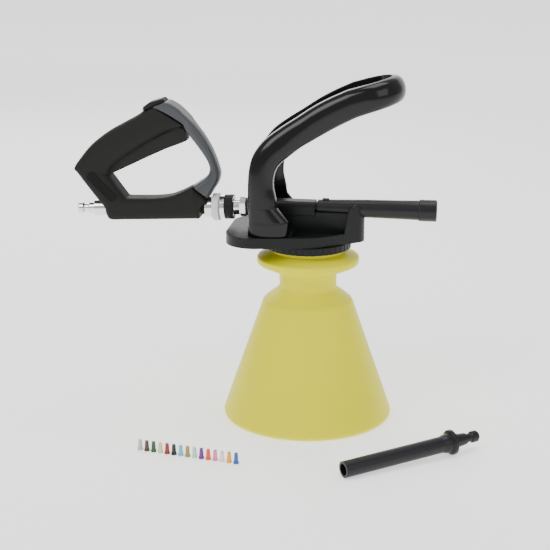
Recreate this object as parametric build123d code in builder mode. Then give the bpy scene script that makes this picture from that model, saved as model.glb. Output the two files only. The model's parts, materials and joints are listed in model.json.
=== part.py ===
from build123d import *
import math
import os

# A hand-carried foam sprayer: a conical bottle with a collared neck, a head plate with a hooped
# carry handle, an injector on the head with a foam lance, and a trigger gun on a quick coupling.
# Loose with it come a rinse lance and fifteen metering tips.
# Millimetres, +Z up. The origin is the centre of the bottle's base, +X points along the foam lance
# and -Y is the near side.

# ---- driving dimensions ----
BASE_R = 100.2  # bottle base
SHOULDER_R = 51.6  # top of the bottle's cone
SHOULDER_Z = 140.0
NECK_R = 33.0
COLLAR_R = 59.0  # finger collar under the mouth
MOUTH_R = 41.6
MOUTH_Z = 206.2
WALL = 1.7

RING_R = 49.3  # cap ring
RING_BOTTOM = 203.5
RING_TOP = 211.7
FLUTES = 40

PLATE_BOTTOM = 212.0
PLATE_TOP = 224.0
PLATE_CIRCLES = ((-58, 25, 33), (-58, -25, 33), (-6, 0, 49), (49.5, 0, 15))
DISH_RIM = 5.0
DISH_DEPTH = 4.5
WEB_HALF = 11.0
WEB_TOP = 241.2
SUCTION_X = -22.0
FOOT_SCREWS = ((-52, 45), (-28, 42.5), (-52, -45), (-28, -42.5))

LANCE_Z = 249.2  # height of the level lance axis
HOUSING_HALF = 12.0
SOCKET_R = 6.6

GUN_Z = 248.9  # height of the sloping gun axis above the suction line
DROOP = math.radians(2.3)  # the gun hangs this much below level
GUN_HALF = 16.0  # half thickness of the grip
GUARD_HALF = 12.0
SLOT_HALF = 8.2  # half width of the trigger slot
TRIGGER_HALF = 7.6
VALVE_R = 8.0
NIPPLE_R = 6.5
SEAM = 0.1  # gap along the seam between guard and grip
PIVOT = (-213.0, 49.0)  # trigger pivot, along and above the gun axis
STEM_DIR = (-0.622, 0.783)  # valve stem, up the front strut
STEM_FOOT = -190.7  # where the stem axis meets the gun axis
HEEL_ARM = 13.0

TIP_COUNT = 15
TIP_FIRST = (-168.5, -144.8)
TIP_PITCH = (8.0, -1.58)
TIP_HEIGHT = 12.0

RINSE_MOUTH = (62.5, -188.0)
RINSE_HEADING = math.radians(36.4)
RINSE_R = 9.15
RINSE_FLANGE_R = 14.0
RINSE_FLANGE_AT = 139.0

# ---- working planes: the local x axis is the axis that round parts are turned about ----
LANCE = Plane(origin=(SUCTION_X, 0, LANCE_Z), x_dir=(1, 0, 0), z_dir=(0, -1, 0))
GUN = Plane(
    origin=(SUCTION_X, 0, GUN_Z),
    x_dir=(math.cos(DROOP), 0, math.sin(DROOP)),
    z_dir=(0, -1, 0),
)
STEM = Plane(
    origin=GUN.from_local_coords((STEM_FOOT, 0, 0)),
    x_dir=GUN.x_dir * STEM_DIR[0] + GUN.y_dir * STEM_DIR[1],
    z_dir=(0, -1, 0),
)
RINSE_TILT = math.atan((RINSE_FLANGE_R - RINSE_R) / RINSE_FLANGE_AT)
RINSE_DIR = Vector(
    math.cos(RINSE_TILT) * math.cos(RINSE_HEADING),
    math.cos(RINSE_TILT) * math.sin(RINSE_HEADING),
    math.sin(RINSE_TILT),
)
RINSE = Plane(
    origin=(*RINSE_MOUTH, RINSE_R * math.cos(RINSE_TILT)),
    x_dir=RINSE_DIR,
    z_dir=(math.sin(RINSE_HEADING), -math.cos(RINSE_HEADING), 0),
)


def upright(x, y):
    """A working plane whose axis stands up at (x, y); its local x is the height."""
    return Plane(origin=(x, y, 0), x_dir=(0, 0, 1), z_dir=(0, -1, 0))


def turned(plane, points, mode=Mode.ADD):
    """Turn the closed outline of (distance along axis, radius) points about the plane's x axis."""
    with BuildSketch(plane) as section:
        with BuildLine():
            Polyline(*points, close=True)
        make_face()
    revolve(section.sketch, axis=Axis(plane.origin, plane.x_dir), mode=mode)


def bore(plane, start, end, radius):
    """Cut a round hole along the plane's x axis."""
    turned(plane, ((start, 0), (end, 0), (end, radius), (start, radius)), Mode.SUBTRACT)


def ring(plane, start, end, inner, outer):
    """Add a plain ring about the plane's x axis."""
    turned(plane, ((start, inner), (end, inner), (end, outer), (start, outer)))


def slab(plane, points, low, high, mode=Mode.ADD):
    """Extrude a closed polygon between two distances along the plane's normal."""
    with BuildSketch(plane.offset(low)) as outline:
        with BuildLine():
            Polyline(*points, close=True)
        make_face()
    extrude(outline.sketch, amount=high - low, mode=mode)


def save(solid, name):
    """Label a finished piece and write it."""
    solid.part.label = name
    export_step(solid.part, f"parts/{name}.step")


os.makedirs("parts", exist_ok=True)

# ================= bottle =================
UP = upright(0, 0)

with BuildPart() as bottle:
    with BuildSketch(Plane.XZ):
        with BuildLine():
            outside = FilletPolyline(
                (0, 0),
                (BASE_R, 0),
                (SHOULDER_R, SHOULDER_Z),
                (NECK_R, 154.5),
                (NECK_R, 172.5),
                (COLLAR_R, 184.6),
                (COLLAR_R, 191.5),
                (MOUTH_R, 198.5),
                (MOUTH_R, MOUTH_Z),
                radius=[5, 9, 6, 6, 3, 3, 1.5],
            )
            Polyline(outside @ 1, (0, MOUTH_Z), (0, 0))
        make_face()
    revolve(axis=Axis.Z)
    with BuildSketch(Plane.XZ):
        with BuildLine():
            inside = FilletPolyline(
                (0, WALL + 0.3),
                (BASE_R - 2.4, WALL + 0.3),
                (SHOULDER_R - 1.6, SHOULDER_Z - 1.1),
                (NECK_R - WALL, 153.4),
                (NECK_R - WALL, 173.6),
                (COLLAR_R - WALL, 185.8),
                (COLLAR_R - WALL, 190.3),
                (MOUTH_R - WALL, 197.1),
                (MOUTH_R - WALL, MOUTH_Z + 1),
                radius=[4, 8, 6, 6, 2, 2, 1.5],
            )
            Polyline(inside @ 1, (0, MOUTH_Z + 1), (0, WALL + 0.3))
        make_face()
    revolve(axis=Axis.Z, mode=Mode.SUBTRACT)
save(bottle, "bottle")

GASKET_TOP = MOUTH_Z + 1.7
with BuildPart() as mouth_gasket:
    ring(UP, MOUTH_Z, GASKET_TOP, MOUTH_R - 3, MOUTH_R - 0.2)
save(mouth_gasket, "mouth_gasket")

# ================= cap ring =================
FLANGE_TOP = GASKET_TOP + 1.7
LIP_R = 39.0
with BuildPart() as cap_ring:
    turned(
        UP,
        (
            (RING_BOTTOM, MOUTH_R + 0.7),
            (RING_BOTTOM, RING_R),
            (RING_TOP, RING_R),
            (RING_TOP, LIP_R),
            (FLANGE_TOP + 0.3, LIP_R),
            (FLANGE_TOP + 0.3, MOUTH_R + 0.7),
        ),
    )
    with BuildSketch(Plane.XY.offset(RING_BOTTOM)):
        with PolarLocations(RING_R + 0.6, FLUTES):
            Circle(1.5)
    extrude(amount=RING_TOP - RING_BOTTOM, mode=Mode.SUBTRACT)
save(cap_ring, "cap_ring")

# ================= head plate =================


def plate_plan(inset):
    """The head plate's outline seen from above, drawn in by inset."""
    with BuildSketch() as plan:
        for x, y, radius in PLATE_CIRCLES:
            with Locations((x, y)):
                Circle(radius - inset)
        make_hull()
    return plan.sketch


with BuildPart() as nose_fin:
    with BuildSketch(Plane.XY.offset(PLATE_TOP - 1)):
        add(plate_plan(0))
    extrude(amount=40)
    fin_side = ((43, 220), (48, 250), (54, 255.5), (60.5, 253.5), (64.3, 241), (66, 220))
    with BuildSketch(Plane.XZ):
        with BuildLine():
            Polyline(*fin_side, close=True)
        make_face()
    extrude(amount=40, both=True, mode=Mode.INTERSECT)

with BuildPart() as head_plate:
    with BuildSketch(Plane.XY.offset(PLATE_BOTTOM)):
        add(plate_plan(0))
    extrude(amount=PLATE_TOP - PLATE_BOTTOM)
    with BuildSketch(Plane.XY.offset(PLATE_TOP)):
        add(plate_plan(DISH_RIM))
        with Locations((-64, 0)):
            Rectangle(100, 140, mode=Mode.SUBTRACT)
    extrude(amount=-DISH_DEPTH, mode=Mode.SUBTRACT)
    add(nose_fin.part)
    floor = PLATE_TOP - DISH_DEPTH - 1
    web_side = ((-50, floor), (-50, WEB_TOP), (9, WEB_TOP), (9, 245.2), (50, 245.2), (50, floor))
    slab(Plane.XZ, web_side, -WEB_HALF, WEB_HALF)
    turned(
        UP,
        (
            (200, 34.5),
            (200, 38),
            (GASKET_TOP, 38),
            (GASKET_TOP, MOUTH_R - 0.6),
            (FLANGE_TOP, MOUTH_R - 0.6),
            (FLANGE_TOP, LIP_R - 0.5),
            (PLATE_BOTTOM + 0.5, LIP_R - 0.5),
            (PLATE_BOTTOM + 0.5, 34.5),
        ),
    )
    bore(LANCE, 31, 92, 10.7)
    bore(upright(SUCTION_X, 0), 199, 242, 5.05)
    bore(upright(15, 24), 199, 226, 3)
    for x, y in FOOT_SCREWS:
        bore(upright(x, y), 211, PLATE_TOP + 1, 2.1)
        bore(upright(x, y), 211, PLATE_BOTTOM + 3, 4.2)
save(head_plate, "head_plate")

with BuildPart() as vent_valve:
    turned(
        upright(15, 24),
        ((209, 0), (209, 4), (211.8, 2.9), (219.6, 2.9), (219.6, 6), (220.8, 6), (222, 4.5), (222, 0)),
    )
save(vent_valve, "vent_valve")

# ================= carry handle =================
HANDLE_TIP = 108.0
ARM_OUT = 42.0
ARM_IN = 28.0
BEND_X = HANDLE_TIP - ARM_OUT

with BuildPart() as carry_handle:
    with BuildSketch(Plane.XZ):
        with BuildLine():
            front = Polyline((-17, 240), (-17, PLATE_TOP), (-63.5, PLATE_TOP), (-63.5, 300))
            crown = Spline(
                front @ 1,
                (-58, 316),
                (-45, 332),
                (-30, 344.5),
                (-10, 357.5),
                (20, 376),
                (50, 390),
                (80, 400),
                tangents=((0, 1), (0.96, 0.28)),
            )
            tip = Spline(
                crown @ 1, (98, 401.3), (107, 393), (107, 381), (98, 372.5), tangents=((0.96, 0.28), (-1, -0.1))
            )
            under = Spline(
                tip @ 1,
                (71, 364),
                (39, 349),
                (2.5, 327),
                (-22, 308),
                (-33, 290),
                (-29, 258),
                tangents=((-1, -0.1), (0.25, -0.97)),
            )
            Line(under @ 1, front @ 0)
        make_face()
    extrude(amount=70, both=True)
    with BuildSketch(Plane.XY.offset(PLATE_TOP)):
        with BuildLine():
            Polyline((-70, 53), (-63, 53), (-17, 47.5), (4, ARM_OUT), (BEND_X, ARM_OUT))
            ThreePointArc((BEND_X, ARM_OUT), (HANDLE_TIP, 0), (BEND_X, -ARM_OUT))
            Polyline((BEND_X, -ARM_OUT), (4, -ARM_OUT), (-17, -47.5), (-63, -53), (-70, -53), (-70, 53))
        make_face()
        with BuildLine():
            Polyline((-71, 38), (-63, 38), (-17, 33.5), (4, ARM_IN), (BEND_X, ARM_IN))
            ThreePointArc((BEND_X, ARM_IN), (BEND_X + ARM_IN, 0), (BEND_X, -ARM_IN))
            Polyline((BEND_X, -ARM_IN), (4, -ARM_IN), (-17, -33.5), (-63, -38), (-71, -38), (-71, 38))
        make_face(mode=Mode.SUBTRACT)
    extrude(amount=200, mode=Mode.INTERSECT)
    for x, y in FOOT_SCREWS:
        bore(upright(x, y), PLATE_TOP - 1, 238, 2.1)
save(carry_handle, "carry_handle")

with BuildPart() as handle_screws:
    for x, y in FOOT_SCREWS:
        turned(upright(x, y), ((212.3, 0), (212.3, 4), (214.9, 4), (214.9, 2), (237, 2), (237, 0)))
save(handle_screws, "handle_screws")

# ================= injector =================
with BuildPart() as injector_housing:
    with BuildSketch(Plane.YZ.offset(-56)) as section:
        with Locations((0, WEB_TOP + 0.05)):
            Rectangle(2 * HOUSING_HALF, 15.4, align=(Align.CENTER, Align.MIN))
        fillet(section.vertices().group_by(Axis.Y)[-1], 6)
    extrude(amount=56 + 8.5)
    turned(GUN, ((-48.2, 0), (-30, 0), (-30, 9), (-38, 11.3), (-48.2, 11.3)))
    bore(LANCE, -34.1, 8, 5.05)
    bore(LANCE, 8, 31, SOCKET_R)
    bore(GUN, -49, -38, 6.05)
    bore(GUN, -39, -32, 3.2)
    bore(upright(SUCTION_X, 0), 240, 246, 5.05)
save(injector_housing, "injector_housing")

NOZZLE_SEALS = (-26.0, 4.0)
with BuildPart() as venturi_nozzle:
    turned(
        LANCE,
        (
            (-34, 3.2),
            (-34, 5),
            (7.9, 5),
            (7.9, 3.3),
            (2, 1.6),
            (-2, 1.6),
            (-3, 0.9),
            (-10, 0.9),
            (-30, 3.2),
        ),
    )
    for start in NOZZLE_SEALS:
        turned(LANCE, ((start, 4), (start + 1.8, 4), (start + 1.8, 6), (start, 6)), Mode.SUBTRACT)
    bore(upright(SUCTION_X, 0), 243, LANCE_Z, 1.2)
save(venturi_nozzle, "venturi_nozzle")

with BuildPart() as injector_seals:
    for start in NOZZLE_SEALS:
        ring(LANCE, start + 0.1, start + 1.7, 4.03, 5.02)
save(injector_seals, "injector_seals")

SUCTION = upright(SUCTION_X, 0)
BALL_SEAT = 212.8
BALL_R = 2.4
with BuildPart() as suction_fitting:
    turned(
        SUCTION,
        (
            (192, 1.6),
            (192, 3.5),
            (196, 4.15),
            (196, 3.8),
            (203, 3.8),
            (203, 5),
            (243.9, 5),
            (243.9, 3.1),
            (BALL_SEAT, 3.1),
            (BALL_SEAT, 1.6),
        ),
    )
save(suction_fitting, "suction_fitting")

with BuildPart() as check_ball:
    with Locations((SUCTION_X, 0, BALL_SEAT + math.sqrt(BALL_R**2 - 1.6**2) + 0.05)):
        Sphere(BALL_R)
save(check_ball, "check_ball")

with BuildPart() as fitted_tip:
    turned(SUCTION, ((234, 0.7), (234, 3.05), (236, 3.05), (237, 2.5), (243.6, 1.9), (243.6, 0.7)))
save(fitted_tip, "fitted_tip")

TUBE_R = 5.5
with BuildPart() as dip_tube:
    ring(SUCTION, 10, 202.9, 4.2, TUBE_R)
save(dip_tube, "dip_tube")

with BuildPart() as strainer:
    turned(SUCTION, ((5, 0), (5, 7), (20, 7), (20, TUBE_R + 0.05), (7, TUBE_R + 0.05), (7, 0)))
    with BuildSketch(Plane.XY.offset(8)):
        with Locations((SUCTION_X, 0)):
            with PolarLocations(6.5, 8):
                Rectangle(4, 1.2)
    extrude(amount=8, mode=Mode.SUBTRACT)
save(strainer, "strainer")

# ================= gun coupling on the head =================
BALL_PLACE = -84.0
BALL_ORBIT = 7.6
LOCK_BALL_R = 1.5
with BuildPart() as inlet_nipple:
    turned(
        GUN,
        (
            (-87, 3.4),
            (-87, 5.8),
            (-86.2, NIPPLE_R),
            (BALL_PLACE - 1.5, NIPPLE_R),
            (BALL_PLACE - 0.7, 5.4),
            (BALL_PLACE + 0.7, 5.4),
            (BALL_PLACE + 1.5, NIPPLE_R),
            (-63.8, NIPPLE_R),
            (-63.6, 9.1),
            (-56.6, 9.1),
            (-56.6, 6),
            (-39.1, 6),
            (-39.1, 3.4),
        ),
    )
    with BuildSketch(Plane(origin=GUN.from_local_coords((-56.6, 0, 0)), z_dir=GUN.x_dir)):
        RegularPolygon(11.5, 6)
        Circle(5, mode=Mode.SUBTRACT)
    extrude(amount=6.6)
save(inlet_nipple, "inlet_nipple")

with BuildPart() as inlet_washer:
    ring(GUN, -49.95, -48.25, 6.1, 10)
save(inlet_washer, "inlet_washer")

# ================= foam lance =================
with BuildPart() as lance_tube:
    turned(
        LANCE,
        (
            (9, 4.2),
            (9, 6.5),
            (18, 6.5),
            (18, 5.3),
            (20.4, 5.3),
            (20.4, 6.5),
            (33, 6.5),
            (33, 8.7),
            (44, 9.1),
            (88, 10.3),
            (128, 10.8),
            (147, 11.2),
            (160, 11.2),
            (160, 9),
            (60, 7.6),
            (42, 4.2),
        ),
    )
    with BuildSketch(Plane(origin=(20, 0, LANCE_Z + 7.5))):
        SlotOverall(8, 5)
    extrude(amount=3)
save(lance_tube, "lance_tube")

with BuildPart() as lance_oring:
    ring(LANCE, 18.3, 20.1, 5.35, SOCKET_R - 0.03)
save(lance_oring, "lance_oring")

with BuildPart() as lance_cuff:
    turned(
        LANCE,
        (
            (148, 11.25),
            (148, 12.0),
            (149, 12.3),
            (167.2, 12.3),
            (168, 11.6),
            (168, 10),
            (163.5, 10),
            (163.5, 11.25),
        ),
    )
save(lance_cuff, "lance_cuff")

with BuildPart() as foam_gauze:
    with BuildSketch(Plane.YZ.offset(LANCE.origin.X + 160.1)):
        with Locations((0, LANCE_Z)):
            Circle(11.15)
            with GridLocations(2.6, 2.6, 7, 7):
                Circle(0.8, mode=Mode.SUBTRACT)
    extrude(amount=3.2)
save(foam_gauze, "foam_gauze")

# ================= trigger gun =================
SHELF_FRONT = (-163.5, 113.4)
SHELF_BACK = (-135.0, 124.1)
GUARD_SEAM = ((-149.6, 118.6), (-127.0, 106.0), (-115.4, 96.2))
OPENING = (
    (-207.5, 41),
    (-189, 13),
    (-150, 12.8),
    (-136, 15.3),
    (-123, 20.2),
    (-110, 26.3),
    (-97, 34.4),
    (-91.2, 40),
    (-89.8, 47),
    (-92.5, 56),
    (-99.5, 67.3),
    (-108.5, 79.7),
    (-113.5, 86.5),
    (-115.4, 96.2),
    (-136, 88.5),
    (-155, 78.4),
    (-174, 67.5),
    (-194, 55.3),
)
TRIGGER_SLOT = (
    (-230, 46),
    (-229, 37),
    (-219, 32.5),
    (-211, 38.5),
    (-204, 36),
    (-110, 72),
    (-110, 96),
    (-119, 101),
    (-130, 106.5),
    (-150, 100),
    (-190, 80),
    (-220, 62),
)
CASE_SCREWS = ((-238, 50.5), (-190, 92.5), (-158, 108), (-221.5, 22))
CONE_RELIEF = (-102.9, -80, 12.3)  # start, end and radius of the room for the coupling's cone
PANEL_AT = (-215.4, 27.5)
PANEL_ANGLE = -47.0


def gun_side():
    """The whole gun's side outline with the hand opening cut out, along and above the gun axis."""
    with BuildSketch() as side:
        with BuildLine():
            heel = Polyline(
                (-102, 2), (-103, -6), (-103, -12.5), (-208, -12.5), (-212.5, -8), (-214, 1), (-224.5, 13.5), (-249, 49)
            )
            back = Spline(heel @ 1, (-228, 74.5), (-201.5, 93), (-175.4, 106), SHELF_FRONT)
            shelf = Line(back @ 1, SHELF_BACK)
            bow = Spline(
                shelf @ 1, (-120.5, 115.5), (-103, 96), (-87, 70.5), (-78, 43), (-79, 30.5), (-91, 14), heel @ 0
            )
        make_face()
        with BuildLine():
            Polyline(*OPENING, close=True)
        make_face(mode=Mode.SUBTRACT)
    return side.sketch


def guard_zone(gap, mode):
    """The part of the gun's side that belongs to the hand guard, drawn in along its seams by gap."""
    points = [
        (-149.6 + gap, 140),
        (GUARD_SEAM[0][0] + gap, GUARD_SEAM[0][1]),
        (GUARD_SEAM[1][0] + gap, GUARD_SEAM[1][1] + gap),
        (GUARD_SEAM[2][0] + gap, GUARD_SEAM[2][1] + gap),
        (-119, 88),
        (-119, 40),
        (-110 + gap, 26.3 + gap),
        (-92, 6 + gap),
        (-60, 6 + gap),
        (-60, 140),
    ]
    with BuildSketch() as zone:
        with BuildLine():
            Polyline(*points, close=True)
        make_face()
    add(zone.sketch, mode=mode)


def gun_shell(side):
    """One half of the gun's case: side is 1 for the near half and -1 for the far half."""
    with BuildSketch(GUN) as plan:
        add(gun_side())
        guard_zone(0, Mode.SUBTRACT)
    extrude(plan.sketch, amount=side * GUN_HALF)
    slab(GUN, TRIGGER_SLOT, -SLOT_HALF, SLOT_HALF, Mode.SUBTRACT)
    bore(GUN, -216, -100, VALVE_R + 0.05)
    bore(GUN, -232, -214.5, 9.8)
    bore(GUN, *CONE_RELIEF)
    bore(STEM, 0, 29, 6.55)
    bore(STEM, 28, 54, 5.2)
    with BuildSketch(GUN.offset(side * GUN_HALF)) as pocket:
        with Locations(Location(PANEL_AT, PANEL_ANGLE)):
            SlotOverall(43.4, 10.9)
    extrude(pocket.sketch, amount=-side * 2, mode=Mode.SUBTRACT)
    with BuildSketch(GUN) as pin_hole:
        with Locations(PIVOT):
            Circle(2.05)
    extrude(pin_hole.sketch, amount=side * 12.1, mode=Mode.SUBTRACT)
    with BuildSketch(GUN.offset(-GUN_HALF)) as screw_holes:
        with Locations(*CASE_SCREWS):
            Circle(1.45)
    extrude(screw_holes.sketch, amount=GUN_HALF + 12.2, mode=Mode.SUBTRACT)
    with BuildSketch(GUN.offset(-GUN_HALF)) as head_holes:
        with Locations(*CASE_SCREWS):
            Circle(2.9)
    extrude(head_holes.sketch, amount=2.2, mode=Mode.SUBTRACT)


with BuildPart() as gun_shell_near:
    gun_shell(1)
save(gun_shell_near, "gun_shell_near")

with BuildPart() as gun_shell_far:
    gun_shell(-1)
save(gun_shell_far, "gun_shell_far")

with BuildPart() as hand_guard:
    with BuildSketch(GUN):
        add(gun_side())
        guard_zone(SEAM, Mode.INTERSECT)
    extrude(amount=GUARD_HALF, both=True)
    bore(GUN, *CONE_RELIEF)
save(hand_guard, "hand_guard")

with BuildPart() as case_screws:
    with BuildSketch(GUN.offset(-GUN_HALF + 2.1)):
        with Locations(*CASE_SCREWS):
            Circle(1.4)
    extrude(amount=GUN_HALF + 10)
    with BuildSketch(GUN.offset(-GUN_HALF + 0.1)):
        with Locations(*CASE_SCREWS):
            Circle(2.8)
    extrude(amount=2)
save(case_screws, "case_screws")

PANEL_RIBS = 7
with BuildPart() as side_panels:
    for side in (1, -1):
        with BuildSketch(GUN.offset(side * (GUN_HALF - 1.95))):
            with Locations(Location(PANEL_AT, PANEL_ANGLE)):
                SlotOverall(43, 10.5)
        extrude(amount=side * 2.6)
        with BuildSketch(GUN.offset(side * (GUN_HALF - 0.2))):
            with Locations(Location(PANEL_AT, PANEL_ANGLE)):
                with GridLocations(4.6, 1, PANEL_RIBS, 1):
                    Rectangle(1.6, 8, rotation=20)
        extrude(amount=side * 2, mode=Mode.SUBTRACT)
save(side_panels, "side_panels")

# a cap closes the top of the grip along its shelf
SHELF_ANGLE = math.degrees(math.atan2(SHELF_BACK[1] - SHELF_FRONT[1], SHELF_BACK[0] - SHELF_FRONT[0]))
SHELF = Plane(
    origin=GUN.from_local_coords((*SHELF_FRONT, 0)),
    x_dir=GUN.x_dir.rotate(Axis((0, 0, 0), (0, -1, 0)), SHELF_ANGLE),
    z_dir=(0, -1, 0),
)
with BuildPart() as grip_end_cap:
    slab(SHELF, ((0.8, 0.35), (3, 4.2), (11, 6.2), (27.5, 4.6), (29.6, 0.35)), -9, 9)
save(grip_end_cap, "grip_end_cap")

# ---- trigger ----
HEEL_AT = (PIVOT[0] - HEEL_ARM * STEM_DIR[1], PIVOT[1] + HEEL_ARM * STEM_DIR[0])
with BuildPart() as trigger:
    with BuildSketch(GUN):
        with BuildLine():
            Polyline(
                (-213, 44),
                (-205, 41.5),
                (-196.6, 44.9),
                (-177, 53.5),
                (-157.7, 62),
                (-138.4, 70),
                (-119.4, 76.6),
                (-113.8, 79),
                (-115.3, 90.3),
                (-118, 93.2),
                (-124, 94.5),
                (-155, 80.5),
                (-175, 69.5),
                (-194, 59.5),
                (-213, 54),
                close=True,
            )
        make_face()
        with Locations(PIVOT):
            Circle(5)
    extrude(amount=TRIGGER_HALF, both=True)
    with BuildSketch(GUN) as heel_plan:
        with Locations(PIVOT):
            Circle(4)
        with Locations(HEEL_AT):
            Circle(3.5)
        make_hull()
    extrude(amount=TRIGGER_HALF, both=True)
    with BuildSketch(GUN):
        with Locations(PIVOT):
            Circle(2.06)
    extrude(amount=TRIGGER_HALF + 1, both=True, mode=Mode.SUBTRACT)
save(trigger, "trigger")

with BuildPart() as trigger_pin:
    with BuildSketch(GUN):
        with Locations(PIVOT):
            Circle(2)
    extrude(amount=12, both=True)
save(trigger_pin, "trigger_pin")

# ---- valve ----
BOSS_TOP = 28.0
STEM_TOP = 47.0
with BuildPart() as valve_body:
    ring(GUN, -214.4, -103.2, 4.2, VALVE_R)
    turned(STEM, ((5, 0), (5, NIPPLE_R), (BOSS_TOP, NIPPLE_R), (BOSS_TOP, 0)))
    bore(GUN, -215, -203.9, 6.05)
    bore(STEM, 0, BOSS_TOP + 1, 2.55)
    bore(STEM, BOSS_TOP - 3, BOSS_TOP + 1, 4.4)
save(valve_body, "valve_body")

with BuildPart() as valve_seal:
    ring(STEM, BOSS_TOP - 2.9, BOSS_TOP - 0.1, 2.56, 4.35)
save(valve_seal, "valve_seal")

with BuildPart() as valve_stem:
    turned(STEM, ((9, 0), (9, 2.5), (STEM_TOP - 3, 2.5), (STEM_TOP - 3, 4.5), (STEM_TOP, 4.5), (STEM_TOP, 0)))
save(valve_stem, "valve_stem")

with BuildPart() as valve_spring:
    ring(STEM, BOSS_TOP + 0.05, STEM_TOP - 4.8, 3.1, 4.5)
save(valve_spring, "valve_spring")

with BuildPart() as hose_plug:
    turned(
        GUN,
        (
            (-249, 3.2),
            (-249, 5),
            (-247.5, 6.6),
            (-242.5, 6.6),
            (-240.8, 4.8),
            (-236.6, 4.8),
            (-235, 6.6),
            (-229.5, 6.6),
            (-228.5, 7.6),
            (-228.5, 9.4),
            (-214.6, 9.4),
            (-214.6, 6),
            (-204, 6),
            (-204, 3.2),
        ),
    )
save(hose_plug, "hose_plug")

# ================= quick coupling on the gun =================
with BuildPart() as coupler_body:
    turned(
        GUN,
        (
            (-112, 3),
            (-112, 4.15),
            (-103.1, 4.15),
            (-103.1, 7.5),
            (-97, 11.5),
            (-89.9, 11.8),
            (-89.9, 10.2),
            (-88.2, 10.2),
            (-88.2, 8.9),
            (-66, 8.9),
            (-66, SOCKET_R),
            (-88, SOCKET_R),
            (-88, 3),
        ),
    )
    for number in range(6):
        ball_way = Plane(
            origin=GUN.from_local_coords((BALL_PLACE, 0, 0)),
            x_dir=GUN.y_dir.rotate(Axis((0, 0, 0), GUN.x_dir), 60 * number),
            z_dir=GUN.x_dir,
        )
        bore(ball_way, 6, 10, LOCK_BALL_R + 0.05)
    turned(GUN, ((-71.6, 6), (-69.4, 6), (-69.4, 7.65), (-71.6, 7.65)), Mode.SUBTRACT)
    turned(GUN, ((-69, 8.5), (-66.9, 8.5), (-66.9, 10), (-69, 10)), Mode.SUBTRACT)
save(coupler_body, "coupler_body")

with BuildPart() as coupler_seal:
    ring(GUN, -71.5, -69.5, NIPPLE_R + 0.05, 7.6)
save(coupler_seal, "coupler_seal")

with BuildPart() as locking_balls:
    for number in range(6):
        turn = math.radians(60 * number)
        with Locations(GUN.from_local_coords((BALL_PLACE, BALL_ORBIT * math.cos(turn), BALL_ORBIT * math.sin(turn)))):
            Sphere(LOCK_BALL_R)
save(locking_balls, "locking_balls")

with BuildPart() as coupler_collar:
    turned(
        GUN,
        (
            (-88.1, 8.95),
            (-88.1, 15.2),
            (-87.2, 15.9),
            (-81, 15.9),
            (-80.1, 15.2),
            (-80.1, 10.6),
            (-86.9, 10.6),
            (-86.9, 8.95),
        ),
    )
save(coupler_collar, "coupler_collar")

with BuildPart() as coupler_snap_ring:
    ring(GUN, -68.95, -66.95, 8.55, 10.2)
save(coupler_snap_ring, "coupler_snap_ring")

with BuildPart() as coupler_spring:
    ring(GUN, -73.1, -69.05, 9.1, 10.1)
save(coupler_spring, "coupler_spring")

with BuildPart() as coupler_sleeve:
    turned(
        GUN,
        (
            (-86.4, 9.2),
            (-86.4, 10.2),
            (-79.8, 10.2),
            (-79.8, 13.3),
            (-79.2, 13.9),
            (-74.3, 13.9),
            (-74.3, 12),
            (-64.2, 12),
            (-64.2, 10.5),
            (-77.6, 10.5),
            (-77.6, 9.2),
        ),
    )
save(coupler_sleeve, "coupler_sleeve")

with BuildPart() as sleeve_grip_ring:
    ring(GUN, -74.2, -64.3, 12.05, 14.1)
    with BuildSketch(Plane(origin=GUN.from_local_coords((-74.2, 0, 0)), z_dir=GUN.x_dir)):
        with PolarLocations(14.4, 30):
            Circle(0.8)
    extrude(amount=9.9, mode=Mode.SUBTRACT)
save(sleeve_grip_ring, "sleeve_grip_ring")

# ================= loose pieces =================
with BuildPart() as rinse_lance:
    turned(
        RINSE,
        (
            (0, 6.5),
            (0, RINSE_R),
            (124, RINSE_R),
            (129, 10.5),
            (133.5, 10.5),
            (RINSE_FLANGE_AT - 4, RINSE_FLANGE_R - 0.6),
            (RINSE_FLANGE_AT - 3, RINSE_FLANGE_R),
            (RINSE_FLANGE_AT, RINSE_FLANGE_R),
            (RINSE_FLANGE_AT + 1, RINSE_FLANGE_R - 1.5),
            (142, 8),
            (156, 6.5),
            (158, 4.8),
            (162, 4.8),
            (164, 6.5),
            (170.5, 6.5),
            (172.5, 5),
            (172.5, 3.2),
            (120, 3.2),
            (110, 6.5),
        ),
    )
save(rinse_lance, "rinse_lance")


def metering_tip(x, y, hole):
    """A flared metering tip that stands on its wide end; hole is the radius of its bore."""
    turned(upright(x, y), ((0, hole), (0, 3.1), (1.6, 3.1), (3, 2.5), (TIP_HEIGHT, 1.9), (TIP_HEIGHT, hole)))


for number in range(TIP_COUNT):
    with BuildPart() as tip:
        metering_tip(
            TIP_FIRST[0] + number * TIP_PITCH[0],
            TIP_FIRST[1] + number * TIP_PITCH[1],
            0.3 + 0.06 * number,
        )
    save(tip, f"metering_tip_{number + 1:02d}")
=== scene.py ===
"""Studio scene of a hand-carried foam sprayer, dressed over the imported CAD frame."""

from __future__ import annotations

import json
import logging
import math
from dataclasses import dataclass, field
from enum import Enum

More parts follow.
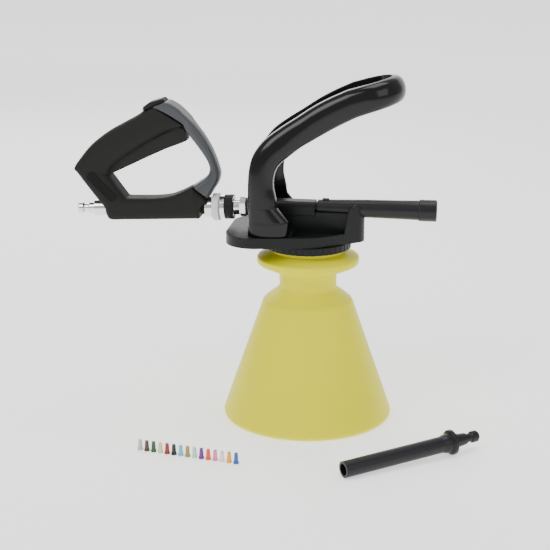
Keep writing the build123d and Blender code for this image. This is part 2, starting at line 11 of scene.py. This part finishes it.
import bpy
import numpy as np
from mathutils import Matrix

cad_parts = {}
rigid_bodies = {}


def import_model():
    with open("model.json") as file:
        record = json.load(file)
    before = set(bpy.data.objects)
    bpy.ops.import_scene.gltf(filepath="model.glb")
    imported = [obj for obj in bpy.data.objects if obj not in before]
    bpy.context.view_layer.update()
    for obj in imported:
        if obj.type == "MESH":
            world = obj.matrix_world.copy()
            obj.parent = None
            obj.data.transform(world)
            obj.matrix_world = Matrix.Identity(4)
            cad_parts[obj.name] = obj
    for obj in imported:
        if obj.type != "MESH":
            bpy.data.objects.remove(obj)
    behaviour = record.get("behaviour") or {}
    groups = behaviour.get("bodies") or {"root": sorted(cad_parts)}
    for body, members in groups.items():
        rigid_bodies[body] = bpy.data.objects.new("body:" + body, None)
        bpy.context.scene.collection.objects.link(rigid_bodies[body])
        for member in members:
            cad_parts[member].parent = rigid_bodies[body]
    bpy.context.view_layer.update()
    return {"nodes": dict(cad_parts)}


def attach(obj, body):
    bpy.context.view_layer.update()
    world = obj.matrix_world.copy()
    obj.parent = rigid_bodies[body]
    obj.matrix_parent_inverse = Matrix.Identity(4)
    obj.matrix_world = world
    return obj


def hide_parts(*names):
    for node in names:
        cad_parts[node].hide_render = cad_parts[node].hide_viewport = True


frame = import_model()

LOG = logging.getLogger("sprayer")
MM = 0.001


# ---------------------------------------------------------------- shader sums
class Socket:
    """A shader value that can be used in Python sums."""

    def __init__(self, tree: bpy.types.NodeTree, link: bpy.types.NodeSocket) -> None:
        """Wrap one output socket of a node tree."""
        self.tree = tree
        self.link = link

    def _sum(self, operation: str, first: object, second: object) -> Socket:
        """Add one Math node and return its result."""
        return Nodes(self.tree).node("ShaderNodeMath", {"operation": operation}, {0: first, 1: second})

    def __add__(self, other: object) -> Socket:
        """Sum of two values."""
        return self._sum("ADD", self, other)

    __radd__ = __add__

    def __sub__(self, other: object) -> Socket:
        """Difference of two values."""
        return self._sum("SUBTRACT", self, other)

    def __mul__(self, other: object) -> Socket:
        """Product of two values."""
        return self._sum("MULTIPLY", self, other)



class Nodes:
    """Adds nodes to one node tree."""

    def __init__(self, tree: bpy.types.NodeTree) -> None:
        """Keep the tree that nodes are added to."""
        self.tree = tree

    def node(
        self, kind: str, settings: dict | None = None, inputs: dict | None = None, output: int | str = 0
    ) -> Socket:
        """Add a node.

        Args:
            kind: the node's type.
            settings: properties that are set first.
            inputs: values or links of its sockets, by name or number.
            output: the output that is returned.

        Returns:
            The chosen output, ready for sums.
        """
        made = self.tree.nodes.new(kind)
        for name, value in (settings or {}).items():
            setattr(made, name, value)
        for name, value in (inputs or {}).items():
            if isinstance(value, Socket):
                self.tree.links.new(value.link, made.inputs[name])
            else:
                made.inputs[name].default_value = value
        return Socket(self.tree, made.outputs[output])


# ---------------------------------------------------------------- finishes
class Skin(Enum):
    """Fine relief of a surface, as its strength and its patches to the metre."""

    POLISHED = (0.0, 1.0)
    BLOWN = (0.02, 300.0)
    EVEN = (0.10, 900.0)
    MOULDED = (0.12, 1800.0)
    RUBBERY = (0.35, 1500.0)


@dataclass(frozen=True)
class Finish:
    """One surface finish: a colour with clouding, a roughness with variation, and a fine relief."""

    name: str
    colour: tuple[float, float, float]
    roughness: float = 0.4
    metallic: float = 0.0
    cloud: float = 0.08  # how much the colour varies, as a share of itself
    cloud_size: float = 22.0  # patches to the metre
    smear: float = 0.06  # how much the roughness varies
    skin: Skin = Skin.POLISHED
    edge: float = 0.0  # radius of softened edges, metres
    subsurface: float = 0.0
    specular: float = 0.5
    glow: float = 0.0  # white light that the surface gives off

    def make(self) -> bpy.types.Material:
        """Build the material once and return it after that."""
        found = bpy.data.materials.get(self.name)
        if found:
            return found
        material = bpy.data.materials.new(self.name)
        material.use_nodes = True
        tree = material.node_tree
        shader = tree.nodes["Principled BSDF"]
        nodes = Nodes(tree)
        place = nodes.node("ShaderNodeTexCoord", output="Object")
        patches = nodes.node(
            "ShaderNodeTexNoise", {}, {"Vector": place, "Scale": self.cloud_size, "Detail": 3.0}, "Fac"
        )
        streaks = nodes.node(
            "ShaderNodeTexNoise", {}, {"Vector": place, "Scale": self.cloud_size * 9, "Detail": 4.0}, "Fac"
        )
        darker = tuple(max(0.0, c * (1 - self.cloud)) for c in self.colour) + (1.0,)
        lighter = tuple(min(1.0, c * (1 + self.cloud)) for c in self.colour) + (1.0,)
        tint = nodes.node(
            "ShaderNodeMix", {"data_type": "RGBA"}, {0: patches, 6: darker, 7: lighter}, 2
        )
        tree.links.new(tint.link, shader.inputs["Base Color"])
        rough = self.roughness + (patches * 0.5 + streaks * 0.5 - 0.5) * (2 * self.smear)
        tree.links.new(rough.link, shader.inputs["Roughness"])
        shader.inputs["Metallic"].default_value = self.metallic
        shader.inputs["Specular IOR Level"].default_value = self.specular
        if self.glow:
            shader.inputs["Emission Color"].default_value = (1, 1, 1, 1)
            shader.inputs["Emission Strength"].default_value = self.glow
        if self.subsurface:
            shader.inputs["Subsurface Weight"].default_value = self.subsurface
            shader.inputs["Subsurface Radius"].default_value = (0.012, 0.010, 0.002)
            shader.inputs["Subsurface Scale"].default_value = 1.0
        soft = None
        if self.edge:
            soft = nodes.node("ShaderNodeBevel", {"samples": 6}, {"Radius": self.edge}, "Normal")
        strength, patches_to_metre = self.skin.value
        if strength:
            pits = nodes.node(
                "ShaderNodeTexNoise", {}, {"Vector": place, "Scale": patches_to_metre, "Detail": 2.0}, "Fac"
            )
            sockets = {"Strength": strength, "Distance": 0.0002, "Height": pits}
            if soft:
                sockets["Normal"] = soft
            soft = nodes.node("ShaderNodeBump", {}, sockets, "Normal")
        if soft:
            tree.links.new(soft.link, shader.inputs["Normal"])
        return material


YELLOW = Finish(
    "yellow_plastic", (0.76, 0.71, 0.0), 0.42,
    cloud=0.03, smear=0.05, skin=Skin.EVEN, specular=0.2,
)
GLOSS_BLACK = Finish(
    "gloss_black", (0.0035, 0.0038, 0.0036), 0.16,
    cloud=0.2, smear=0.05, skin=Skin.BLOWN, specular=0.3,
)
SATIN_BLACK = Finish(
    "satin_black", (0.007, 0.0078, 0.0078), 0.40,
    smear=0.08, skin=Skin.MOULDED, edge=0.0012, specular=0.2,
)
LANCE_BLACK = Finish(
    "lance_black", (0.0085, 0.0085, 0.0105), 0.36,
    smear=0.07, skin=Skin.MOULDED, edge=0.0008, specular=0.3,
)
GUN_GREY = Finish(
    "gun_rubber", (0.0135, 0.0135, 0.012), 0.62,
    cloud=0.14, smear=0.08, skin=Skin.RUBBERY, specular=0.15,
)
TRIGGER_GREY = Finish(
    "trigger_grey", (0.015, 0.015, 0.0135), 0.55,
    cloud=0.1, skin=Skin.RUBBERY, edge=0.0016, specular=0.15,
)
GUARD_GREY = Finish(
    "guard_grey", (0.0195, 0.020, 0.0225), 0.45,
    cloud=0.08, skin=Skin.MOULDED, specular=0.3,
)
PANEL_BLACK = Finish(
    "panel_black", (0.004, 0.004, 0.004), 0.5,
    skin=Skin.MOULDED, edge=0.0005, specular=0.15,
)
CHROME = Finish(
    "chrome", (0.74, 0.74, 0.73), 0.09,
    metallic=1.0, cloud=0.02, smear=0.04, edge=0.0004,
)
STEEL = Finish("steel", (0.55, 0.55, 0.54), 0.28, metallic=1.0, smear=0.08, edge=0.0003)
BRASS = Finish("brass", (0.72, 0.52, 0.24), 0.3, metallic=1.0, smear=0.08)
RUBBER = Finish("rubber", (0.008, 0.008, 0.008), 0.7, skin=Skin.RUBBERY, specular=0.2)
PALE_GREY = Finish("pale_grey", (0.62, 0.62, 0.61), 0.4, skin=Skin.MOULDED, edge=0.0005)
WHITE = Finish("white_plastic", (0.75, 0.75, 0.72), 0.4)
FLOOR_WHITE = Finish(
    "floor_white",
    (0.93, 0.93, 0.93),
    0.75,
    cloud=0.004,
    smear=0.02,
    specular=0.2,
    glow=0.8,
)
TIP_COLOURS = (
    (0.52, 0.55, 0.52),
    (0.075, 0.045, 0.03),
    (0.012, 0.10, 0.035),
    (0.78, 0.68, 0.36),
    (0.30, 0.02, 0.02),
    (0.012, 0.012, 0.012),
    (0.14, 0.50, 0.72),
    (0.32, 0.25, 0.06),
    (0.52, 0.76, 0.62),
    (0.13, 0.03, 0.27),
    (0.80, 0.09, 0.02),
    (0.85, 0.22, 0.34),
    (0.80, 0.82, 0.82),
    (0.90, 0.42, 0.02),
    (0.02, 0.09, 0.46),
)

NODE_FINISHES = {
    SATIN_BLACK: ("cap_ring", "head_plate", "injector_housing", "sleeve_grip_ring"),
    LANCE_BLACK: ("lance_tube", "lance_cuff", "rinse_lance"),
    STEEL: (
        "handle_screws",
        "check_ball",
        "foam_gauze",
        "case_screws",
        "trigger_pin",
        "valve_stem",
        "valve_spring",
        "locking_balls",
        "coupler_snap_ring",
        "coupler_spring",
    ),
    BRASS: ("venturi_nozzle", "valve_body"),
    RUBBER: (
        "mouth_gasket",
        "vent_valve",
        "injector_seals",
        "inlet_washer",
        "lance_oring",
        "valve_seal",
        "coupler_seal",
    ),
    WHITE: ("suction_fitting", "dip_tube", "strainer"),
    CHROME: ("inlet_nipple", "hose_plug", "coupler_body", "coupler_sleeve"),
    PALE_GREY: ("coupler_collar",),
    TRIGGER_GREY: ("trigger", "grip_end_cap"),
    PANEL_BLACK: ("side_panels",),
    GLOSS_BLACK: ("carry_handle",),
    GUN_GREY: ("gun_shell_near", "gun_shell_far"),
    GUARD_GREY: ("hand_guard",),
    YELLOW: ("bottle",),
}


# ---------------------------------------------------------------- mesh helpers
def smooth_curve(points: np.ndarray, count: int) -> np.ndarray:
    """Carry a smooth line through control points.

    Each span is a cubic whose end slopes are half the step between its neighbours, which is a
    Catmull-Rom curve, sampled evenly in the points' own order.

    Args:
        points: control points, one to a row.
        count: how many points to return.

    Returns:
        The sampled line, one point to a row.
    """
    last = len(points) - 1
    place = np.linspace(0, last, count)
    span = np.minimum(place.astype(int), last - 1)
    t = (place - span)[:, None]
    slopes = np.gradient(points, axis=0)
    a, b = points[span], points[span + 1]
    da, db = slopes[span], slopes[span + 1]
    return (
        (2 * t**3 - 3 * t**2 + 1) * a
        + (t**3 - 2 * t**2 + t) * da
        + (3 * t**2 - 2 * t**3) * b
        + (t**3 - t**2) * db
    )


def grid_mesh(
    name: str, points: np.ndarray, close_rows: bool = False, cap_ends: bool = False
) -> bpy.types.Object:
    """Make a mesh object from a grid of points whose columns close on themselves.

    Args:
        name: the piece's name.
        points: rows x columns x 3, in metres.
        close_rows: whether the last row joins the first.
        cap_ends: whether the first and last rows are closed by a fan about their middle.

    Returns:
        The new object, smooth shaded.
    """
    rows, columns = points.shape[:2]
    row = np.arange(rows if close_rows else rows - 1)[:, None]
    column = np.arange(columns)[None, :]
    here, there = row * columns, ((row + 1) % rows) * columns
    ahead = (column + 1) % columns
    quads = np.stack([here + column, here + ahead, there + ahead, there + column], axis=-1).reshape(-1, 4)
    vertices = points.reshape(-1, 3)
    faces = quads.tolist()
    if cap_ends:
        middle = np.array([points[0].mean(axis=0), points[-1].mean(axis=0)])
        vertices = np.vstack([vertices, middle])
        around = np.arange(columns)
        onward = (around + 1) % columns
        first, last = rows * columns, rows * columns + 1
        base = (rows - 1) * columns
        faces += np.stack([np.full(columns, first), onward, around], axis=1).tolist()
        faces += np.stack([np.full(columns, last), base + around, base + onward], axis=1).tolist()
    mesh = bpy.data.meshes.new(name)
    mesh.from_pydata(vertices.tolist(), [], faces)
    mesh.validate()
    mesh.shade_smooth()
    made = bpy.data.objects.new(name, mesh)
    bpy.context.scene.collection.objects.link(made)
    face_out(made)
    return made


def face_out(piece: bpy.types.Object) -> None:
    """Turn every face of a closed piece outwards: the signed volume of its mesh must be positive."""
    mesh = piece.data
    mesh.calc_loop_triangles()
    corners = np.empty(len(mesh.loop_triangles) * 3, dtype=np.int32)
    mesh.loop_triangles.foreach_get("vertices", corners)
    spots = np.empty(len(mesh.vertices) * 3)
    mesh.vertices.foreach_get("co", spots)
    a, b, c = np.moveaxis(spots.reshape(-1, 3)[corners.reshape(-1, 3)], 1, 0)
    if np.einsum("ij,ij->i", a, np.cross(b, c)).sum() < 0:
        mesh.flip_normals()


def wear(piece: bpy.types.Object, finish: Finish) -> None:
    """Give a piece one finish."""
    piece.data.materials.clear()
    piece.data.materials.append(finish.make())


def filleted(points: list[tuple[float, float]], radii: list[float], steps: int = 8) -> np.ndarray:
    """Round the inner corners of an open outline.

    Each corner becomes an arc that touches both of its runs: the arc's centre lies on the
    corner's bisector, at the radius over the sine of half the corner's angle.

    Args:
        points: the outline's corners, ends included.
        radii: one radius for each inner corner.
        steps: points to an arc.

    Returns:
        The rounded outline, one point to a row.
    """
    corners = np.array(points, dtype=float)
    out = [corners[:1]]
    for before, corner, after, radius in zip(corners[:-2], corners[1:-1], corners[2:], radii):
        u = (before - corner) / np.linalg.norm(before - corner)
        v = (after - corner) / np.linalg.norm(after - corner)
        half = 0.5 * math.acos(float(np.clip(u @ v, -1, 1)))
        bisector = (u + v) / np.linalg.norm(u + v)
        centre = corner + bisector * radius / math.sin(half)
        start = corner + u * radius / math.tan(half) - centre
        end = corner + v * radius / math.tan(half) - centre
        t = np.linspace(0, 1, steps)[:, None]
        sweep = math.pi - 2 * half
        arc = (np.sin((1 - t) * sweep) * start + np.sin(t * sweep) * end) / math.sin(sweep)
        out.append(centre + arc)
    out.append(corners[-1:])
    return np.vstack(out)


# ---------------------------------------------------------------- bottle
@dataclass
class Bottle:
    """The blow-moulded bottle: a cone with a flat base, a neck and a flared finger collar."""

    wall: float = 1.7
    mouth_height: float = 206.2
    around: int = 240
    seam: float = 0.22  # height of the mould seam
    seam_half: float = 0.9  # half width of the mould seam
    seam_from: float = 8.0  # heights between which the seam shows
    seam_to: float = 186.0
    corners: list[tuple[float, float]] = field(
        default_factory=lambda: [
            (0.001, 0),
            (100.18, 0),
            (51.6, 140),
            (33, 154.5),
            (33, 172.5),
            (59, 184.6),
            (59, 191.5),
            (41.6, 198.5),
            (41.6, 206.2),
        ]
    )
    radii: list[float] = field(default_factory=lambda: [5, 9, 6, 6, 3, 3, 1.5])

    def profile(self) -> np.ndarray:
        """Outline of the wall as (radius, height): up the outside, over the rim and down the inside."""
        outer = filleted(self.corners, self.radii)
        step = np.gradient(outer, axis=0)
        normal = np.stack([-step[:, 1], step[:, 0]], axis=1)
        normal /= np.linalg.norm(normal, axis=1)[:, None]
        inner = outer + normal * self.wall
        inner[:, 0] = np.maximum(inner[:, 0], 0.001)
        inner[-1, 1] = self.mouth_height
        inner[0] = (0.001, self.wall)
        dense = [np.linspace(a, b, 7)[:-1] for a, b in zip(outer[:-1], outer[1:])]
        return np.vstack(dense + [outer[-1:], inner[::-1]])

    def build(self) -> bpy.types.Object:
        """Turn the outline about the upright axis.

        A point at angle a has x = r cos a and y = r sin a. On the outside, two narrow bell-shaped
        ridges at a = 0 and a = pi add the mould seam to r.

        Returns:
            The finished bottle.
        """
        line = self.profile()
        angle = np.linspace(0, 2 * np.pi, self.around, endpoint=False)[None, :]
        from_seam = np.abs(np.sin(angle)) * np.maximum(line[:, :1], 1)
        outside = (np.arange(len(line)) < len(line) * 0.6)[:, None]
        tall = (line[:, 1:] > self.seam_from) & (line[:, 1:] < self.seam_to)
        ridge = self.seam * np.exp(-((from_seam / self.seam_half) ** 2))
        radius = line[:, :1] + ridge * outside * tall
        height = np.broadcast_to(line[:, 1:], radius.shape)
        points = np.stack([radius * np.cos(angle), radius * np.sin(angle), height], axis=-1) * MM
        made = grid_mesh("bottle_body", points, close_rows=True)
        wear(made, YELLOW)
        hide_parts("bottle")
        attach(made, "bottle")
        return made


# ---------------------------------------------------------------- handle
@dataclass
class CarryHandle:
    """The hooped carry handle: a D-section band that rises from two feet and turns back at the front."""

    bend_x: float = 66.0
    bend_r: float = 35.0
    band: float = 14.0
    bend_rise: float = 13.3  # how much the middle still rises round the bend
    tip_half: tuple[float, float, float] = (-1.5, 0.0, 14.6)  # half height of the band at the tip
    rows: int = 150
    edges: list[tuple[float, float, float, float, float]] = field(
        default_factory=lambda: [
            # top x, top z, under x, under z, middle y
            (-63.4, 224.1, -16.8, 224.1, 45.5),
            (-63.4, 236.0, -16.8, 236.0, 45.5),
            (-63.4, 240.5, -17.0, 240.5, 45.3),
            (-63.4, 242.5, -18.4, 242.5, 45.3),
            (-63.4, 254.5, -28.6, 254.5, 45.2),
            (-63.4, 257.5, -30.0, 257.5, 45.1),
            (-63.4, 268.0, -31.6, 268.0, 45.0),
            (-63.4, 282.0, -34.0, 280.0, 44.6),
            (-62.0, 300.0, -33.3, 293.0, 43.8),
            (-57.0, 316.5, -28.5, 304.0, 42.6),
            (-45.5, 332.0, -18.5, 313.0, 40.6),
            (-29.0, 345.0, -5.0, 323.5, 37.6),
            (-10.0, 357.5, 9.0, 332.0, 35.6),
            (8.0, 369.5, 24.0, 341.0, 35.0),
            (26.0, 379.5, 40.0, 350.0, 35.0),
            (46.0, 388.8, 57.0, 358.5, 35.0),
        ]
    )

    def centre_line(self) -> tuple[np.ndarray, np.ndarray, np.ndarray]:
        """Middle of the band, its half height in the side plane, and its outward direction from above.

        Legs and arms follow the listed edges. Round the bend the middle runs at angle a on a circle of
        radius bend_r: x = bend_x + r sin a, y = -r cos a, and its height goes on rising with x.

        Returns:
            Three arrays with one row for each station from the near foot to the far foot.
        """
        near = smooth_curve(np.array(self.edges), self.rows)
        middle = np.stack([(near[:, 0] + near[:, 2]) / 2, -near[:, 4], (near[:, 1] + near[:, 3]) / 2], axis=1)
        half = np.stack(
            [(near[:, 0] - near[:, 2]) / 2, 0 * near[:, 0], (near[:, 1] - near[:, 3]) / 2], axis=1
        )
        bend = np.linspace(0, np.pi / 2, 40)[1:]
        x = self.bend_x + self.bend_r * np.sin(bend)
        share = (x - middle[-1, 0]) / (self.bend_x + self.bend_r - middle[-1, 0])
        z = middle[-1, 2] + self.bend_rise * share**0.85
        bend_middle = np.stack([x, -self.bend_r * np.cos(bend), z], axis=1)
        bend_half = half[-1] + (np.array(self.tip_half) - half[-1]) * share[:, None]
        middle = np.vstack([middle, bend_middle])
        half = np.vstack([half, bend_half])
        round_bend = np.stack([np.sin(bend), -np.cos(bend), 0 * bend], axis=1)
        away = np.vstack([np.tile([0.0, -1.0, 0.0], (self.rows, 1)), round_bend])
        mirror = np.array([1.0, -1.0, 1.0])
        return (
            np.vstack([middle, (middle * mirror)[-2::-1]]),
            np.vstack([half, half[-2::-1]]),
            np.vstack([away, (away * mirror)[-2::-1]]),
        )

    def section(self) -> np.ndarray:
        """The D section as (height, out) pairs from -1 to 1: a bulging outer face and a dished inner one.

        The outer face is height = cos a and out = 2 sin(a)^0.7 - 1, with a from 0 to pi. The inner face
        runs back from -0.97 to 0.97 with a shallow hollow between rounded lips.
        """
        a = np.linspace(0, np.pi, 44)
        outer = np.stack([np.cos(a), 1.86 * np.sin(a) ** 0.72 - 0.86], axis=1)
        back = np.linspace(-0.97, 0.97, 26)
        inner = np.stack([back, -1 + 0.16 * (1 - back**8) * (1 - back**2)], axis=1)
        return np.vstack([outer, inner])

    def build(self) -> bpy.types.Object:
        """Carry the section along the hoop: point = middle + height * half + out * band / 2 * outward."""
        middle, half, away = self.centre_line()
        shape = self.section()
        width = self.band / 2
        points = (
            middle[:, None, :]
            + shape[None, :, :1] * half[:, None, :]
            + shape[None, :, 1:] * width * away[:, None, :]
        )
        made = grid_mesh("hooped_handle", points * MM, cap_ends=True)
        wear(made, GLOSS_BLACK)
        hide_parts("carry_handle")
        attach(made, "head")
        return made


# ---------------------------------------------------------------- gun
@dataclass
class GunSide:
    """Places points of the gun's side plane: s along the sloping gun axis, h above it, y across."""

    origin: tuple[float, float] = (-22.0, 248.9)
    droop: float = math.radians(2.3)

    def place(self, s: np.ndarray, h: np.ndarray, y: np.ndarray) -> np.ndarray:
        """Turn (s, h) through the droop, move it to the gun axis and add y; the result is in metres."""
        c, d = math.cos(self.droop), math.sin(self.droop)
        return np.stack([self.origin[0] + s * c - h * d, y, self.origin[1] + s * d + h * c], axis=-1) * MM


@dataclass
class GunBand(GunSide):
    """A band of the gun between its outer outline and its hand opening, with a soft section."""

    name: str = "band"
    stations: list[tuple[float, float, float, float, float, float, float]] = field(default_factory=list)
    rows: int = 180
    across: int = 96
    groove_half: float = 0.55  # half width of the seam groove
    slot_half: float = 8.4  # half width of the trigger slot
    slot_soft: float = 0.12  # how softly the slot's walls turn in

    def section(self, line: np.ndarray) -> tuple[np.ndarray, np.ndarray]:
        """Section at every station as (in to out, across) from -1 to 1.

        The section is a superellipse: in-out = sign(cos a) |cos a|^(2/n) and across = sign(sin a)
        |sin a|^(2/n), where the power n comes from the station.
        """
        a = np.linspace(0, 2 * np.pi, self.across, endpoint=False)[None, :]
        power = 2 / line[:, 5:6]
        out = np.sign(np.cos(a)) * np.abs(np.cos(a)) ** power
        side = np.sign(np.sin(a)) * np.abs(np.sin(a)) ** power
        return out, side

    def build(
        self, finish: Finish, material_slot: str, nodes: tuple[str, ...], seam: float
    ) -> bpy.types.Object:
        """Carry the section along the band.

        A point is the middle of the outer and inner edge points, plus the in-out share of half their
        distance, plus the across share of the half thickness. A narrow groove at y = 0 marks the seam,
        and on the inner side a slot of the station's depth is sunk between two soft walls.

        Args:
            finish: the band's finish.
            material_slot: the record's slot; not used.
            nodes: the CAD nodes that it stands for.
            seam: depth of the seam groove, millimetres.

        Returns:
            The finished band.
        """
        line = smooth_curve(np.array(self.stations), self.rows)
        line[:, 5] = np.clip(line[:, 5], 2.0, 9.0)
        out, side = self.section(line)
        outer, inner = line[:, None, 0:2], line[:, None, 2:4]
        thick = line[:, 4:5]
        groove = seam * np.exp(-((side * thick / self.groove_half) ** 2))
        reach = np.linalg.norm(line[:, 0:2] - line[:, 2:4], axis=1)[:, None] / 2
        share = out * (1 - groove / np.maximum(reach, 1))
        flat = (outer + inner) / 2 + share[..., None] * (outer - inner) / 2
        slot = line[:, 6:7]
        if slot.max() > 0:
            wall = 1 / (1 + np.exp((np.abs(side * thick) - self.slot_half) / self.slot_soft))
            depth = np.clip(slot, 0, None) * wall * (out < 0)
            inward = (line[:, None, 0:2] - line[:, None, 2:4]) / (2 * reach[..., None])
            flat = flat + depth[..., None] * inward
        points = self.place(flat[..., 0], flat[..., 1], side * thick)
        made = grid_mesh(self.name, points, cap_ends=True)
        wear(made, finish)
        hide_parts(*nodes)
        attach(made, "gun")
        return made


CASE = GunBand(
    name="gun_case",
    stations=[
        # outer s, h, inner s, h, half thickness, section power, trigger slot depth
        (-150.0, 118.5, -115.8, 95.8, 14.3, 7.0, 0),
        (-152.0, 117.7, -118.0, 95.0, 14.4, 5.0, 0),
        (-158.0, 115.3, -126.0, 92.0, 15.0, 3.4, 8),
        (-163.5, 113.2, -136.0, 88.3, 15.6, 2.8, 20),
        (-169.0, 109.5, -143.5, 84.5, 15.9, 2.6, 20),
        (-176.5, 105.5, -151.0, 80.5, 16.0, 2.5, 19),
        (-189.0, 99.3, -163.0, 73.8, 16.0, 2.5, 17),
        (-202.0, 92.7, -175.0, 66.8, 16.0, 2.5, 14),
        (-215.0, 84.5, -186.0, 60.2, 16.0, 2.6, 11),
        (-228.0, 74.3, -196.0, 53.8, 16.0, 2.8, 8),
        (-240.0, 61.2, -204.0, 47.0, 16.0, 3.2, 4),
        (-248.6, 49.3, -207.5, 41.2, 15.6, 4.0, 1),
        (-245.5, 44.0, -206.8, 39.8, 15.8, 4.2, 0),
        (-235.0, 29.0, -200.0, 29.5, 16.0, 4.2, 0),
        (-224.0, 13.6, -191.0, 16.5, 16.0, 4.2, 0),
        (-215.5, 2.5, -189.2, 13.6, 16.0, 4.6, 0),
        (-213.6, -5.0, -188.6, 13.2, 16.0, 5.0, 0),
        (-209.0, -12.2, -186.0, 13.0, 16.0, 5.0, 0),
        (-190.0, -12.5, -176.0, 12.9, 15.8, 5.0, 0),
        (-160.0, -12.5, -156.0, 12.9, 15.6, 4.8, 0),
        (-140.0, -12.5, -138.0, 14.8, 15.4, 4.6, 0),
        (-124.0, -12.5, -123.5, 20.0, 15.2, 4.4, 0),
        (-110.0, -12.5, -111.0, 25.7, 15.0, 4.2, 0),
        (-104.0, -12.2, -108.0, 23.9, 14.6, 4.2, 0),
        (-103.0, -6.0, -100.0, 17.0, 14.0, 4.0, 0),
        (-102.2, 1.8, -93.8, 9.4, 13.6, 6.0, 0),
    ],
)

GUARD = GunBand(
    name="hand_guard_bow",
    stations=[
        (-148.6, 119.2, -149.4, 118.4, 14.2, 8.0, 0),
        (-142.5, 121.3, -145.8, 116.3, 14.2, 8.0, 0),
        (-135.4, 123.9, -139.0, 112.6, 14.2, 8.0, 0),
        (-128.0, 121.0, -132.0, 108.6, 14.2, 7.5, 0),
        (-120.5, 115.5, -124.0, 103.2, 14.0, 7.0, 0),
        (-111.0, 105.8, -116.2, 97.0, 13.6, 6.0, 0),
        (-106.5, 100.6, -114.2, 89.0, 12.8, 3.6, 0),
        (-101.5, 94.2, -109.4, 81.4, 12.2, 2.8, 0),
        (-94.6, 84.4, -103.5, 73.0, 11.8, 2.7, 0),
        (-87.0, 70.5, -97.4, 63.8, 11.6, 2.6, 0),
        (-81.5, 56.0, -92.0, 54.6, 11.6, 2.6, 0),
        (-78.1, 43.2, -89.8, 46.5, 11.8, 2.6, 0),
        (-77.9, 36.5, -91.3, 40.2, 12.2, 2.8, 0),
        (-80.5, 29.0, -95.4, 35.6, 12.8, 3.0, 0),
        (-86.0, 20.8, -102.0, 31.2, 13.6, 3.4, 0),
        (-91.6, 12.6, -109.4, 26.6, 14.4, 4.0, 0),
    ],
    rows=150,
)


# ---------------------------------------------------------------- studio
@dataclass
class Studio:
    """Pale floor, soft lights, and the camera."""

    eye: tuple[float, float, float] = (0.2009, -1.6106, 0.6323)
    pitch: float = math.radians(90 - 15.97)
    yaw: float = math.radians(8.46)
    lens: float = 95.39

    def floor(self) -> None:
        """A pale sweep: a flat floor that curves up into a far wall as a quarter circle."""
        half, bend, back = 6.0, 1.2, 3.2
        turn = np.linspace(0, np.pi / 2, 20)
        line = np.vstack(
            [
                [[-5.0, 0.0]],
                np.stack([back + bend * np.sin(turn), bend - bend * np.cos(turn)], axis=1),
                [[back + bend, 4.0]],
            ]
        )
        side = np.array([-half, half])
        grid = np.stack(
            [
                np.broadcast_to(side[None, :], (len(line), 2)),
                np.broadcast_to(line[:, :1], (len(line), 2)),
                np.broadcast_to(line[:, 1:], (len(line), 2)),
            ],
            axis=-1,
        )
        index = np.arange(len(line) - 1)[:, None] * 2
        quads = (index + np.array([0, 1, 3, 2])).tolist()
        mesh = bpy.data.meshes.new("floor")
        mesh.from_pydata(grid.reshape(-1, 3).tolist(), [], quads)
        mesh.shade_smooth()
        sweep = bpy.data.objects.new("floor", mesh)
        bpy.context.scene.collection.objects.link(sweep)
        wear(sweep, FLOOR_WHITE)

    def lamp(self, name: str, place: tuple[float, float, float], size: float, power: float) -> None:
        """Add one square soft light that faces the middle of the object."""
        light = bpy.data.lights.new(name, "AREA")
        light.size = size
        light.energy = power
        made = bpy.data.objects.new(name, light)
        bpy.context.scene.collection.objects.link(made)
        made.location = place
        aim = np.array([-0.02, 0.0, 0.2]) - np.array(place)
        flat = math.hypot(aim[0], aim[1])
        made.rotation_euler = (math.atan2(flat, -aim[2]), 0, math.atan2(-aim[0], aim[1]))

    def build(self) -> None:
        """Set the world, the lights, the floor and the camera."""
        self.floor()
        world = bpy.data.worlds.new("studio_air")
        world.use_nodes = True
        world.node_tree.nodes["Background"].inputs["Color"].default_value = (1, 1, 1, 1)
        world.node_tree.nodes["Background"].inputs["Strength"].default_value = 0.65
        bpy.context.scene.world = world
        self.lamp("key_light", (-1.3, -1.5, 1.9), 1.1, 24)
        self.lamp("fill_light", (1.6, -1.4, 1.3), 1.3, 10)
        self.lamp("top_light", (0.1, 0.2, 2.2), 1.2, 18)
        self.lamp("rear_light", (-0.9, 1.7, 1.2), 1.0, 12)
        camera = bpy.data.cameras.new("camera")
        camera.lens = self.lens
        camera.sensor_width = 36
        camera.clip_end = 50
        holder = bpy.data.objects.new("camera", camera)
        bpy.context.scene.collection.objects.link(holder)
        holder.location = self.eye
        holder.rotation_euler = (self.pitch, 0, self.yaw)
        bpy.context.scene.camera = holder


# ---------------------------------------------------------------- dressing
def dress_nodes() -> None:
    """Give every carried-over CAD node its finish."""
    for finish, names in NODE_FINISHES.items():
        for name in names:
            wear(bpy.data.objects[name], finish)
    for number, colour in enumerate(TIP_COLOURS, start=1):
        finish = Finish(
            f"tip_plastic_{number:02d}", colour, 0.36, cloud=0.05, edge=0.0003, subsurface=0.05
        )
        wear(bpy.data.objects[f"metering_tip_{number:02d}"], finish)


def main() -> None:
    """Build every class in order and report each piece."""
    logging.basicConfig(level=logging.INFO, format="%(name)s: %(message)s")
    dress_nodes()
    LOG.info("dressed %d CAD nodes", len(frame["nodes"]))
    pieces = [
        Bottle().build(),
        CarryHandle().build(),
        CASE.build(GUN_GREY, "gun_grey", ("gun_shell_near", "gun_shell_far"), 0.35),
        GUARD.build(GUARD_GREY, "guard_grey", ("hand_guard",), 0.0),
    ]
    for piece in pieces:
        LOG.info("%s: %d faces", piece.name, len(piece.data.polygons))
    Studio().build()


if __name__ == "__main__":
    main()
